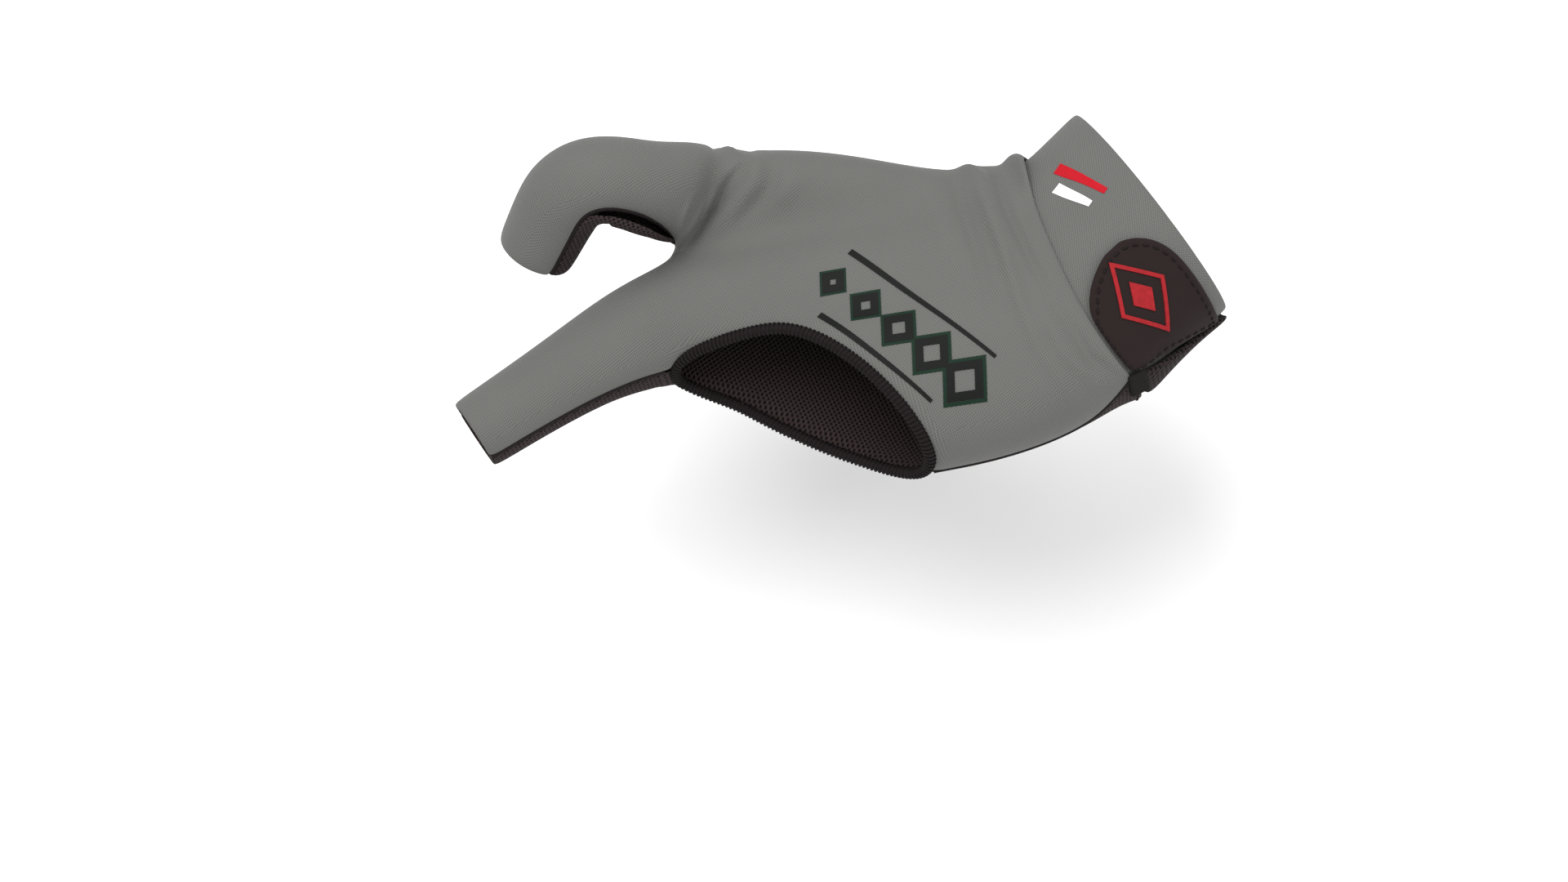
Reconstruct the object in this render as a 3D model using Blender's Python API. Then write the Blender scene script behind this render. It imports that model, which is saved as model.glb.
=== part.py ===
"""Billiard glove for the left hand, kept in the form that it takes when worn.

The origin is the middle of the wrist opening. +X runs up the forearm, so the fingers point
towards -X, +Z leaves the back of the hand and +Y is the thumb side. Tables are in millimetres.
"""

import math

import bpy
import numpy as np

MM = 0.001
WALL = 1.1  # thickness of the stretch cloth and of the palm mesh
GAP = 0.3  # clearance between neighbouring pieces
EDGE_R = 1.35  # half width of the binding cord round the ring and little finger opening
EDGE_FLAT = 0.9  # its thickness as a share of its width

# The hand: wrist opening to knuckles, across the knuckles, and through palm and back.
LENGTH, BREADTH, DEPTH = 120.0, 85.0, 36.0
SIZE = (LENGTH, BREADTH, DEPTH)
SQUARENESS = 0.88  # 1 for an oval section, less for one with a flatter back and palm
# Reach of each finger's sleeve past its root, and its half width.
INDEX_REACH, INDEX_HALF = 39.0, 10.8
MIDDLE_REACH, MIDDLE_HALF = 44.5, 9.8
THUMB_REACH, THUMB_HALF = 54.0, 10.8
# Wrist seam: its distance from the wrist opening, and how much nearer to the fingers it lies on
# the back and on the thumb side, and farther from them on the palm.
CUFF_LONG, BACK_LEAN, THUMB_LEAN, PALM_LEAN = 20.0, 9.8, 3.5, 2.5
WRIST_HALF = (31.0, 21.5)  # half width and half height of the wrist opening
TAB_R, TAB_LONG, TAB_THICK = 14.8, 24.0, 1.5  # round end, length past its centre to the fold
TAB_RISE = 13.2  # from the wrist seam to the round end's centre
TAB_FLARE = 0.14  # how much its upper edge climbs along its length
STRAP_THICK = 1.9
FOLD_HALF, FOLD_HEIGHT = 3.6, 1.9  # half width and height of the soft folds by the cuff


def sized(rows, *sizes):
    """A table whose columns are shares, turned into lengths by the size that each column follows."""
    return np.array(rows, float) * sizes


# Sections of the hand, from the wrist seam to the knuckles, as shares of its length, breadth
# and depth.
# x, y on the thumb side, y on the little finger side, z of the side edges, z of back, z of palm
HAND = sized([
    (-0.167, 0.235, -0.547, 0, 0.528, -0.542),
    (-0.25, 0.22, -0.586, 0, 0.5, -0.542),
    (-0.367, 0.239, -0.615, 0, 0.472, -0.54),
    (-0.467, 0.298, -0.62, -0.014, 0.444, -0.526),
    (-0.567, 0.367, -0.608, -0.028, 0.417, -0.5),
    (-0.667, 0.419, -0.594, -0.028, 0.389, -0.472),
    (-0.8, 0.465, -0.541, -0.042, 0.347, -0.431),
    (-1, 0.482, -0.424, -0.056, 0.278, -0.389),
], LENGTH, BREADTH, BREADTH, DEPTH, DEPTH, DEPTH)
COLUMNS = 32  # columns round the hand: 0 on the thumb side, 8 on the back, 16 little finger side
ROWS = (0, 0.06, 0.13, 0.21, 0.31, 0.43, 0.57, 0.72, 0.86, 1)  # shares of each column's length
# By the wrist the palm mesh wraps up round the little finger side: the column whose points turn
# most, by how many columns, over how many on each side, and to which share of the length.
WRAP_AT, WRAP_TURN, WRAP_WIDTH, WRAP_TO = 17, 2.6, 5.0, 0.28
WRAP_FADE, TURN_FADE = 1.3, 1.5  # powers with which that turn, and a column's own, die out

# Roots of the index and middle finger, at the last row of the hand.
# column, then x, y, z as shares of the hand's size
ROOTS = sized([
    (0, -0.8, 0.459, 0.139),
    (1, -0.808, 0.429, 0.333),
    (2, -0.825, 0.376, 0.472),
    (3, -0.846, 0.318, 0.472),
    (4, -0.883, 0.247, 0.347),
    (5, -0.938, 0.182, 0.139),
    (6, -0.963, 0.124, 0.222),
    (7, -0.975, 0.053, 0.25),
    (8, -0.988, -0.029, 0.181),
    (9, -0.998, -0.109, 0),
    (23, -0.992, -0.129, -0.361),
    (25, -0.975, 0.047, -0.417),
    (27, -0.913, 0.265, -0.333),
    (29, -0.85, 0.353, -0.333),
    (31, -0.808, 0.447, -0.111),
], 1, *SIZE)
# Edge of the opening for the ring and little finger: its corner columns run on to the roots.
# column, then x, y, z as shares of the hand's size
OPENING_ROW = 7
OPENING = sized([
    (9, -0.822, -0.136, 0.306),
    (10, -0.776, -0.17, 0.344),
    (11, -0.727, -0.231, 0.361),
    (12, -0.682, -0.311, 0.361),
    (13, -0.644, -0.398, 0.344),
    (14, -0.613, -0.484, 0.283),
    (15, -0.591, -0.556, 0.172),
    (16, -0.58, -0.599, 0),
    (17, -0.592, -0.6, -0.194),
    (18, -0.633, -0.551, -0.347),
    (20, -0.742, -0.418, -0.453),
    (22, -0.85, -0.282, -0.453),
    (23, -0.896, -0.212, -0.439),
], 1, *SIZE)
CORNERS = {(9, 8): (-0.913, -0.121, 0.203), (23, 8): (-0.946, -0.167, -0.411)}  # (column, row)
# Points down the cloth between index and middle finger, and between middle finger and opening.
WEBS = {
    "index": sized([(-0.96, 0.182, 0.014), (-0.946, 0.241, -0.139)], *SIZE),
    "middle": sized([(-1.013, -0.118, -0.111), (-1.013, -0.124, -0.25)], *SIZE),
}
CROOK_R, CROOK_SETBACK = 14.0, 0.5  # wider clearance between panels where the index web bends
SPLITS = (5, 9)  # columns at which the hand parts into index, middle and opening

# Sleeves. Each has its root as a share of the hand's size, its first angle in degrees, and its
# stations: offset from the root x, y, z as shares of its reach, half width and half height as
# shares of its own half width, roll towards the thumb in degrees.
SLEEVES = {
    "index": ((-0.9, 0.318, 0.292), 7.0, sized([
        (0, 0, 0, 1.13, 1.056, 12),
        (-0.128, 0, 0.146, 1.056, 1, 20),
        (-0.282, 0.015, 0.256, 1, 0.963, 28),
        (-0.474, 0.056, 0.354, 0.981, 0.972, 34),
        (-0.636, 0.077, 0.356, 1, 1.009, 37),
        (-0.759, 0.062, 0.259, 1, 1.019, 37),
        (-0.844, 0.021, 0.126, 0.963, 0.972, 37),
        (-1.003, -0.082, -0.11, 0.926, 0.898, 37),
    ], INDEX_REACH, INDEX_REACH, INDEX_REACH, INDEX_HALF, INDEX_HALF, 1)),
    "middle": ((-1.058, 0.027, -0.103), 38.0, sized([
        (0, 0, 0, 1.306, 1.01, 0),
        (-0.169, -0.052, -0.018, 1.235, 1.01, 0),
        (-0.337, -0.106, -0.04, 1.153, 0.99, 0),
        (-0.539, -0.169, -0.063, 1.061, 0.959, 0),
        (-0.742, -0.236, -0.085, 1, 0.939, 0),
        (-1, -0.321, -0.119, 0.949, 0.918, 0),
    ], MIDDLE_REACH, MIDDLE_REACH, MIDDLE_REACH, MIDDLE_HALF, MIDDLE_HALF, 1)),
    "thumb": ((-0.617, 0.359, -0.681), -38.6, sized([
        (0, 0, 0, 1.25, 1.25, 0),
        (-0.185, 0.009, -0.083, 1.111, 1.13, 0),
        (-0.389, -0.037, -0.102, 1.037, 1.019, 0),
        (-0.593, -0.13, -0.083, 1, 0.972, 0),
        (-0.796, -0.241, -0.046, 0.981, 0.963, 0),
        (-1, -0.333, 0, 0.926, 0.907, 0),
    ], THUMB_REACH, THUMB_REACH, THUMB_REACH, THUMB_HALF, THUMB_HALF, 1)),
}
ROOT_KEPT = (0.6, 0.25)  # how much of the root's shape a sleeve's first rings keep
THUMB_PATCH = (3, 6, 27, 31)  # rows and columns of the palm that the thumb sleeve replaces

# Soft folds on the back, each a ridge between two points.
# x, y of one end, x, y of the other, half width, height
FOLDS = sized([
    (-0.325, 0.306, -0.317, -0.141, 1, 0.842),
    (-0.308, -0.071, -0.275, -0.471, 0.944, 0.526),
    (-0.225, 0.306, -0.258, 0.024, 0.833, 1),
    (-0.383, 0.141, -0.367, -0.353, 1.111, 0.316),
    (-0.433, 0.047, -0.4, -0.447, 1.111, 0.263),
], LENGTH, BREADTH, LENGTH, BREADTH, FOLD_HALF, FOLD_HEIGHT)
FOLD_ENDS = 0.35  # share of its height that a fold keeps at its ends
FOLDS_TO = -0.625 * LENGTH  # they stay on the wrist side of this
FACING_SLOPE, FACING_LEVEL = 1.5, 0.5  # and fade where the cloth turns away from the back
CORD_SIDES = 8

# Wrist end of the cuff: an oval whose plane leans with the forearm.
CUFF_ACROSS = (-0.32, 0.947, 0.0)
CUFF_AXIS = (0.915, 0.31, 0.26)
CUFF_ROWS = (0, 0.3, 0.65, 1)
TUCKED = 0.8  # how far the cuff is tucked under the hand, as a share of the cloth's first quad
TAB_TURNS = (9, 26, 45, 66, 90)  # degrees round the tab's end, from its tip to its full width
TAB_RUNS = sized([[0.226], [0.415], [0.585], [0.736], [0.868], [1]], TAB_LONG)[:, 0]
TAB_COLUMNS = 7
TAB_AT = 0.379  # its round centre, as a share of the way round from the thumb side over the back
STRAP_TO, STRAP_ROWS = 0.88, 20  # share of the way round at which the strap ends, and its rows
STRAP_EDGES = (0.03, 0.27, 0.5, 0.73, 0.97)  # shares of the cuff's height

# Each piece's cloth: colour and roughness.
CLOTHS = {
    "back_panel": ((0.180, 0.180, 0.172), 0.75),
    "palm_panel": ((0.022, 0.015, 0.016), 0.85),
    "thumb_panel": ((0.180, 0.180, 0.172), 0.75),
    "cuff_band": ((0.180, 0.180, 0.172), 0.75),
    "opening_binding": ((0.016, 0.013, 0.013), 0.8),
    "strap_tab": ((0.024, 0.016, 0.017), 0.95),
    "wrist_strap": ((0.020, 0.014, 0.015), 0.85),
}


def unit(v):
    v = np.asarray(v, float)
    return v / np.maximum(np.linalg.norm(v, axis=-1, keepdims=True), 1e-9)


def between(table, at):
    """The row of a table at a value of its first column, its other columns blended."""
    return np.array([np.interp(at, table[:, 0], column) for column in table.T[1:]])


def hand_point(x, column):
    """Point of the hand's skin at this x, an oval squared a little so that the back is flat."""
    y_thumb, y_little, z_edge, z_back, z_palm = between(HAND[::-1], x)
    turn = 2 * math.pi * column / COLUMNS
    across, up = math.cos(turn), math.sin(turn)
    across = math.copysign(abs(across) ** SQUARENESS, across)
    up = math.copysign(abs(up) ** SQUARENESS, up)
    height = z_back - z_edge if up > 0 else z_edge - z_palm
    middle, half = (y_thumb + y_little) / 2, (y_thumb - y_little) / 2
    return np.array((x, middle + across * half, z_edge + up * height))


def column_at(point, column):
    """Fraction of a column at which the hand's oval has the y of this point."""
    y_thumb, y_little = between(HAND[::-1], point[0])[:2]
    across = (point[1] - (y_thumb + y_little) / 2) / ((y_thumb - y_little) / 2)
    across = math.copysign(min(abs(across), 1) ** (1 / SQUARENESS), across)
    turn = math.acos(across)
    return COLUMNS * (turn if column <= COLUMNS / 2 else 2 * math.pi - turn) / (2 * math.pi)


class Cage:
    """Coarse faces of the whole glove, each tagged with the cloth panel that it belongs to."""

    def __init__(self):
        self.points, self.faces, self.panels = [], [], []

    def add(self, point):
        self.points.append(np.asarray(point, float))
        return len(self.points) - 1

    def face(self, corners, panel):
        self.faces.append(corners)
        self.panels.append(panel)


PANELS = ("back_panel", "palm_panel", "thumb_panel")
BACK, PALM, THUMB_OUT = range(3)
PALM_COLUMNS = (17, 31)  # the hand's columns of palm mesh


def hand_rows(cage):
    """Grid of the hand, from the wrist seam to the finger roots and the edge of the opening."""
    first, last = SPLITS[1], COLUMNS - SPLITS[1]
    grid = [[None] * COLUMNS for _ in ROWS]
    for column in range(COLUMNS):
        open_column = first <= column <= last
        end = between(OPENING if open_column else ROOTS, column)
        full = ROWS[OPENING_ROW] if open_column else 1
        wrap = WRAP_TURN * math.exp(-(((column - WRAP_AT) / WRAP_WIDTH) ** 2))
        turn = 2 * math.pi * (column - wrap) / COLUMNS
        lean = BACK_LEAN if math.sin(turn) > 0 else PALM_LEAN
        start = -CUFF_LONG - lean * math.sin(turn) - THUMB_LEAN * math.cos(turn)
        arrive = column_at(end, column)
        for row, share in enumerate(ROWS):
            if share <= full:
                share /= full
                x = start + (end[0] - start) * share
                turned = (arrive - column) * (1 - (1 - share) ** TURN_FADE)
                turned -= wrap * max(0, 1 - share / WRAP_TO) ** WRAP_FADE
                here = hand_point(x, column + turned)
                pull = share * share * (3 - 2 * share)
                grid[row][column] = cage.add(here + pull * (end - hand_point(end[0], arrive)))
    for (column, row), point in CORNERS.items():
        grid[row][column] = cage.add(np.multiply(point, SIZE))
    for column in (first, last):
        grid[-1][column] = cage.add(between(ROOTS, column))
    r0, r1, c0, c1 = THUMB_PATCH
    for r in range(len(ROWS) - 1):
        for c in range(COLUMNS):
            if (r0 <= r < r1 and c0 <= c < c1) or (r >= OPENING_ROW and first <= c < last):
                continue
            n = (c + 1) % COLUMNS
            quad = (grid[r][c], grid[r + 1][c], grid[r + 1][n], grid[r][n])
            cage.face(quad, PALM if PALM_COLUMNS[0] <= c < PALM_COLUMNS[1] else BACK)
    return grid


def sleeve(cage, name, ring, palm, other):
    """Tube from a ring of the hand's points to the sleeve's open end. It returns its last ring.

    palm gives the two columns between which it is mesh, and other is its other panel.
    """
    root, first_angle, stations = SLEEVES[name]
    centres = np.multiply(root, SIZE) + stations[:, :3]
    ways = unit(np.gradient(centres, axis=0))
    shape = np.array([cage.points[i] for i in ring])
    shape = shape - shape.mean(axis=0)
    turns = np.radians(first_angle + 360 * np.arange(len(ring)) / len(ring))
    for row, (centre, way, (wide, high, roll)) in enumerate(zip(centres, ways, stations[:, 3:])):
        keep = ROOT_KEPT[row] if row < len(ROOT_KEPT) else 0
        roll = math.radians(roll)
        side = np.array((0, -math.cos(roll), math.sin(roll)))
        side = unit(side - way * (side @ way))
        top = np.cross(way, side)
        tube = np.outer(np.sin(turns) * high, top) - np.outer(np.cos(turns) * wide, side)
        nxt = [cage.add(point) for point in centre + keep * shape + (1 - keep) * tube]
        for i in range(len(ring)):
            j = (i + 1) % len(ring)
            cage.face((ring[i], nxt[i], nxt[j], ring[j]), PALM if palm[0] <= i < palm[1] else other)
        ring = nxt
    return ring


def build_cage():
    cage = Cage()
    grid = hand_rows(cage)
    last = grid[-1]
    web = {name: [cage.add(p) for p in points] for name, points in WEBS.items()}
    a, b = SPLITS
    palm_a, palm_b = COLUMNS - a, COLUMNS - b
    index_root = last[: a + 1] + web["index"] + last[palm_a:]
    middle_root = last[a : b + 1] + web["middle"] + last[palm_b : palm_a + 1] + web["index"][::-1]
    rims = {
        "wrist": grid[0],
        "opening": grid[OPENING_ROW][b : palm_b + 1] + last[palm_b : palm_b + 1] + web["middle"][::-1],
        "index": sleeve(cage, "index", index_root, (7, 12), BACK),
        "middle": sleeve(cage, "middle", middle_root, (5, 12), BACK),
    }
    r0, r1, c0, c1 = THUMB_PATCH
    thumb_root = [grid[r][c1] for r in range(r0, r1)] + [grid[r1][c] for c in range(c1, c0, -1)]
    thumb_root += [grid[r][c0] for r in range(r1, r0, -1)] + [grid[r0][c] for c in range(c0, c1)]
    rims["thumb"] = sleeve(cage, "thumb", thumb_root, (5, 11), THUMB_OUT)
    return cage, rims


def smooth(cage):
    """The cage divided once by Catmull-Clark: points, quads and panels, the cage's own points first."""
    mesh = bpy.data.meshes.new("cage")
    mesh.from_pydata([tuple(p) for p in cage.points], [], cage.faces)
    mesh.polygons.foreach_set("material_index", cage.panels)
    for _ in PANELS:
        mesh.materials.append(None)
    obj = bpy.data.objects.new("cage", mesh)
    bpy.context.collection.objects.link(obj)
    divide = obj.modifiers.new("divide", "SUBSURF")
    divide.levels = divide.render_levels = 1
    bpy.context.view_layer.update()
    done = obj.evaluated_get(bpy.context.evaluated_depsgraph_get()).to_mesh()
    points = np.array([v.co for v in done.vertices])
    faces = np.array([p.vertices for p in done.polygons])
    panels = np.array([p.material_index for p in done.polygons])
    bpy.data.objects.remove(obj)
    bpy.data.meshes.remove(mesh)
    return points, faces, panels


def normals_of(points, faces):
    corner = points[faces]
    face = np.cross(corner[:, 2] - corner[:, 0], corner[:, 3] - corner[:, 1])
    total = np.zeros_like(points)
    for i in range(4):
        np.add.at(total, faces[:, i], face)
    return unit(total)


def fold(points, normals):
    """The FOLDS table's ridges raised on the back of the hand."""
    lift = np.zeros(len(points))
    for x0, y0, x1, y1, half_width, height in FOLDS:
        a, way = np.array((x0, y0)), np.array((x1 - x0, y1 - y0))
        along = np.clip((points[:, :2] - a) @ way / (way @ way), 0, 1)
        off = np.linalg.norm(points[:, :2] - a - along[:, None] * way, axis=1)
        fade = np.clip(4 * along * (1 - along) + FOLD_ENDS, 0, 1)
        lift += height * fade * np.exp(-((off / half_width) ** 2))
    facing_up = np.clip(normals[:, 2] * FACING_SLOPE + FACING_LEVEL, 0, 1)
    lift *= facing_up * (points[:, 0] > FOLDS_TO)
    return points + normals * lift[:, None]


def edges_of(faces):
    """Each directed edge of the faces, with the face that it belongs to."""
    return {(f[i], f[(i + 1) % 4]): n for n, f in enumerate(faces) for i in range(4)}


def loop_through(faces, start):
    """The closed chain of open edges that passes through a point."""
    directed = edges_of(faces.tolist())
    after = {a: b for a, b in directed if (b, a) not in directed}
    chain = [start]
    while after[chain[-1]] != start:
        chain.append(after[chain[-1]])
    return chain


def add_piece(name, points, faces):
    """A named object from points in millimetres, in its cloth."""
    colour, roughness = CLOTHS[name]
    material = bpy.data.materials.new(name)
    material.use_nodes = True
    shader = material.node_tree.nodes["Principled BSDF"]
    shader.inputs["Base Color"].default_value = (*colour, 1)
    shader.inputs["Roughness"].default_value = roughness
    material.diffuse_color = (*colour, 1)
    mesh = bpy.data.meshes.new(name)
    quads = [list(map(int, face)) for face in faces]
    mesh.from_pydata([tuple(p) for p in np.asarray(points) * MM], [], quads)
    mesh.materials.append(material)
    mesh.update()
    obj = bpy.data.objects.new(name, mesh)
    bpy.context.collection.objects.link(obj)
    return obj


def add_panel(panel, points, faces, panels, normals, setback):
    """One cloth panel as a solid: its outside, its inside one wall deeper, and walls along its edges."""
    own = faces[panels == panel].tolist()
    directed = edges_of(own)
    border = [edge for edge in directed if edge[::-1] not in directed]
    pull = {}
    for a, b in border:
        middle = points[own[directed[a, b]]].mean(axis=0) - (points[a] + points[b]) / 2
        along = unit(points[b] - points[a])
        inward = unit(middle - along * (middle @ along))
        off = np.linalg.norm((points[a] + points[b]) / 2 - WEBS["index"][1])
        plain = GAP / 2 + CROOK_SETBACK * max(0, 1 - off / CROOK_R)
        distance = min(setback.get(a, plain), setback.get(b, plain))
        for end in (a, b):
            pull.setdefault(end, {}).setdefault(distance, []).append(inward)
    used = sorted({corner for face in own for corner in face})
    new = {old: i for i, old in enumerate(used)}
    outer = points[used].copy()
    for end, kinds in pull.items():
        for distance, ways in kinds.items():
            outer[new[end]] += distance * unit(np.mean(ways, axis=0))
    inner = outer - normals[used] * WALL
    n = len(used)
    solid = [[new[c] for c in face] for face in own]
    solid += [[new[c] + n for c in reversed(face)] for face in own]
    solid += [[new[b], new[a], new[a] + n, new[b] + n] for a, b in border]
    return add_piece(PANELS[panel], np.vstack((outer, inner)), solid)


def add_layer(name, outside, inside, closed=False):
    """A sheet between two grids of points, whose second axis is a ring if closed."""
    rows, columns = outside.shape[:2]
    points = np.concatenate((outside.reshape(-1, 3), inside.reshape(-1, 3)))
    at = np.arange(rows * columns).reshape(rows, columns)
    n = rows * columns
    faces = []
    for r in range(rows - 1):
        for c in range(columns if closed else columns - 1):
            d = (c + 1) % columns
            quad = (at[r, c], at[r + 1, c], at[r + 1, d], at[r, d])
            faces += [quad, tuple(q + n for q in reversed(quad))]
    ends = [at[0], at[-1][::-1]]
    if not closed:
        ends = [np.concatenate((at[0], at[1:, -1], at[-1, -2::-1], at[-2:0:-1, 0]))]
    for ring in ends:
        for a, b in zip(ring, np.roll(ring, -1)):
            faces.append((a, b, b + n, a + n))
    a, b, c, _ = points[list(faces[0])]
    if np.cross(b - a, c - b) @ (outside[0, 0] - inside[0, 0]) < 0:
        faces = [face[::-1] for face in faces]
    return add_piece(name, points, faces)


def add_cord(name, path, normals, wide, high):
    """A closed cord along a path, oval in section, its short axis along the normals."""
    along = unit(np.roll(path, -1, 0) - np.roll(path, 1, 0))
    sideways = unit(np.cross(along, normals))
    normals = np.cross(sideways, along)
    turns = 2 * math.pi * np.arange(CORD_SIDES) / CORD_SIDES
    rings = path[:, None] + (np.cos(turns)[None, :, None] * sideways[:, None] * wide
                             + np.sin(turns)[None, :, None] * normals[:, None] * high)
    faces = []
    for i in range(len(path)):
        j = (i + 1) % len(path)
        for a in range(CORD_SIDES):
            b = (a + 1) % CORD_SIDES
            faces.append([ring * CORD_SIDES + side for ring, side in ((i, a), (j, a), (j, b), (i, b))])
    return add_piece(name, rings.reshape(-1, 3), faces)


def cuff_surface(points, normals, faces, rim):
    """Rings of the cuff's outside, from its edge tucked under the hand to the wrist opening."""
    chain = loop_through(faces, rim[0])
    place = {corner: i for i, corner in enumerate(chain)}
    if place[rim[1]] > len(chain) / 2:
        chain = [chain[0]] + chain[:0:-1]
    deep = {}
    for face in faces.tolist():
        for i in range(4):
            if face[i] in place and face[(i + 1) % 4] not in place:
                deep[face[i]] = face[(i + 1) % 4]
            if face[i] in place and face[i - 1] not in place:
                deep[face[i]] = face[i - 1]
    under = WALL + GAP
    tucked = np.array([points[deep[c]] - normals[deep[c]] * under for c in chain])
    seam = np.array([points[c] - normals[c] * under for c in chain])
    across = unit(CUFF_ACROSS)
    axis = unit(np.array(CUFF_AXIS) - across * (across @ np.array(CUFF_AXIS)))
    top = np.cross(axis, across)
    top *= np.sign(top[2])
    turns = 2 * math.pi * np.arange(len(chain)) / len(chain)
    wide, high = WRIST_HALF
    wrist = np.outer(np.cos(turns) * wide, across) + np.outer(np.sin(turns) * high, top)
    rings = [seam + (tucked - seam) * TUCKED]
    rings += [seam + (wrist - seam) * share for share in CUFF_ROWS]
    return np.array(rings)


def cuff_height(rings, around):
    """Height of the cuff's cloth at a share of the way round it."""
    line = rings[1:, int(around % 1 * rings.shape[1])]
    return np.linalg.norm(np.diff(line, axis=0), axis=1).sum()


def on_cuff(rings, around, up, lift):
    """Point over the cuff: share of the way round, distance up from the seam, height over the cloth."""
    count = rings.shape[1]

    def surface(a, u):
        a = a % 1 * count
        i, t = int(a) % count, a - int(a)
        line = rings[1:, i] * (1 - t) + rings[1:, (i + 1) % count] * t
        run = np.concatenate(([0], np.cumsum(np.linalg.norm(np.diff(line, axis=0), axis=1))))
        if u > run[-1]:
            return line[-1] + unit(line[-1] - line[-2]) * (u - run[-1])
        if u < 0:
            return line[0] + unit(line[0] - line[1]) * -u
        return np.array([np.interp(u, run, line[:, k]) for k in range(3)])

    da, du = 0.004, 0.6  # steps round and up, over which the cloth's slope is taken
    upward = surface(around, up - du) - surface(around, up + du)
    out = unit(np.cross(upward, surface(around + da, up) - surface(around - da, up)))
    here = surface(around, up)
    if out @ (here - rings[1:].mean(axis=(0, 1))) < 0:
        out = -out
    return here + out * lift


def tab_rows(girth):
    """Places over the cuff of the tab's grid, from its round end to its fold: share round, height."""
    rows = []
    for run in (*(-TAB_R * np.cos(np.radians(TAB_TURNS))), *TAB_RUNS):
        half = math.sqrt(TAB_R**2 - min(run, 0) ** 2)
        low = max(GAP, TAB_RISE - half)
        high = TAB_RISE + half + TAB_FLARE * max(run, 0)
        rows.append([(TAB_AT + run / girth, up) for up in np.linspace(low, high, TAB_COLUMNS)])
    return rows


def strap_rows(rings, girth):
    """Places over the cuff of the strap's grid, from the tab's fold to its sewn end."""
    start = TAB_AT + (TAB_LONG + 2 * GAP) / girth
    return [
        [(around, cuff_height(rings, around) * s) for s in STRAP_EDGES]
        for around in np.linspace(start, STRAP_TO, STRAP_ROWS)
    ]


def main():
    for obj in list(bpy.data.objects):
        bpy.data.objects.remove(obj, do_unlink=True)
    cage, rims = build_cage()
    points, faces, panels = smooth(cage)
    normals = normals_of(points, faces)
    points = fold(points, normals)
    normals = normals_of(points, faces)

    # The three cloth panels of the hand and its sleeves.
    beside_cord = EDGE_R + GAP + CROOK_SETBACK / 2
    setback = {}
    for name, rim in rims.items():
        for corner in loop_through(faces, rim[1]):
            setback[corner] = beside_cord if name == "opening" else 0
    for panel in (BACK, PALM, THUMB_OUT):
        add_panel(panel, points, faces, panels, normals, setback)

    # Overlock binding round the opening for the ring and little finger.
    chain = loop_through(faces, rims["opening"][1])
    path = points[chain] - normals[chain] * WALL / 2
    add_cord("opening_binding", path, normals[chain], EDGE_R, EDGE_R * EDGE_FLAT)

    # Cuff, and on it the strap from under the wrist and its round-ended tab.
    rings = cuff_surface(points, normals, faces, rims["wrist"])
    down = np.gradient(rings, axis=0)
    out = unit(np.cross(down, np.roll(rings, -1, 1) - np.roll(rings, 1, 1)))
    out *= np.sign(((rings - rings.mean(axis=1, keepdims=True)) * out).sum())
    add_layer("cuff_band", rings, rings - out * WALL, closed=True)
    middle_ring = rings[len(CUFF_ROWS) - 1]
    girth = np.linalg.norm(np.roll(middle_ring, -1, 0) - middle_ring, axis=1).sum()
    for name, rows, thick in (
        ("strap_tab", tab_rows(girth), TAB_THICK),
        ("wrist_strap", strap_rows(rings, girth), STRAP_THICK),
    ):
        layers = [
            np.array([[on_cuff(rings, around, up, lift) for around, up in row] for row in rows])
            for lift in (GAP + thick, GAP)
        ]
        add_layer(name, *layers)


main()
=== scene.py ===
import math

import bmesh
import bpy
import numpy as np
from mathutils import Matrix, Vector
from mathutils.bvhtree import BVHTree


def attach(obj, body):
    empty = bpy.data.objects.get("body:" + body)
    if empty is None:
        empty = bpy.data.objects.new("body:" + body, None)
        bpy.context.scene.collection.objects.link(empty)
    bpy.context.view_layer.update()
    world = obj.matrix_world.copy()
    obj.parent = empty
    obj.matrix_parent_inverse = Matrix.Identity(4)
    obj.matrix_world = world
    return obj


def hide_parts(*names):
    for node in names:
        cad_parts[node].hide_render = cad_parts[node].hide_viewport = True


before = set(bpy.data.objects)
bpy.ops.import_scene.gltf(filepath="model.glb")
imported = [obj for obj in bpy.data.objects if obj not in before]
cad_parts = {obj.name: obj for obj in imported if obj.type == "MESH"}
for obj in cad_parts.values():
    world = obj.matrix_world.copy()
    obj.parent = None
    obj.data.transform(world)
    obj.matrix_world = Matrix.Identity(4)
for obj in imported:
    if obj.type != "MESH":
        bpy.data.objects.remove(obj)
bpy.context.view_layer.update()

# Back of the glove, with the backs of the index and middle sleeves in one piece.
# Grey knitted stretch cloth, about a millimetre thick, cut flat and pulled tight by the hand,
# so it lies smooth over the back and gathers in soft folds at the wrist and the bent finger.


def pick_out(piece):
    """Makes one piece the only selected one."""
    bpy.ops.object.select_all(action="DESELECT")
    piece.select_set(True)
    bpy.context.view_layer.objects.active = piece


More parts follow.
